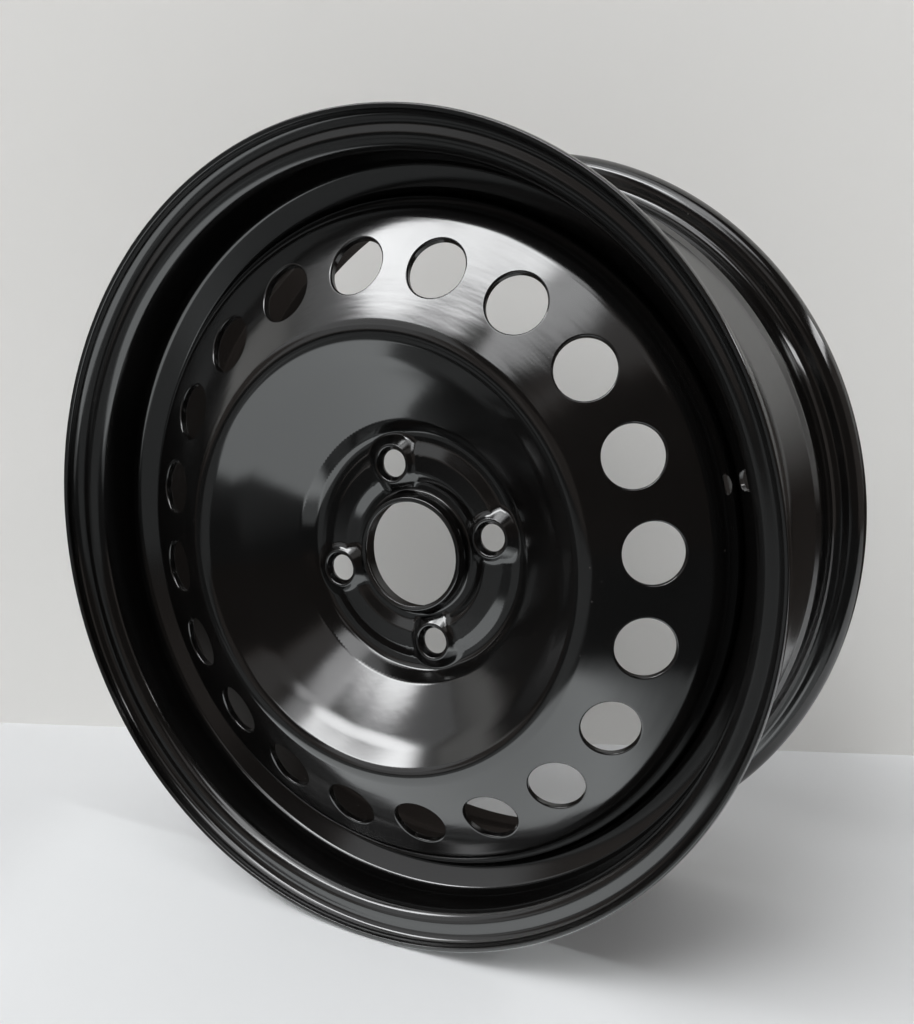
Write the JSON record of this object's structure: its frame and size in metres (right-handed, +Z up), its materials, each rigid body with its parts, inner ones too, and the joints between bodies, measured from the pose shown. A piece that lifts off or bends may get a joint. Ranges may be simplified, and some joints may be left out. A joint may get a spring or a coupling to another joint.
{
  "type": "steel wheel",
  "caption": "Pressed-steel road wheel with a drop-centre rim, a dished disc with a ring of round vents and a flat hub pad with raised bolt seats.",
  "frame": {"origin": "on the wheel's axis, in the plane of the hub mounting face", "axes": "+Y along the axis of rotation towards the vehicle, +Z up, +X to the right seen from the street side"},
  "size_m": [0.4716, 0.1912, 0.4714],
  "materials": {
    "rim": "gloss",
    "disc": "gloss",
    "weld_beads": "gloss"
  },
  "bodies": {
    "root": {"rim": "rim", "disc": "disc", "weld_beads": "weld_beads"}
  },
  "joints": []
}
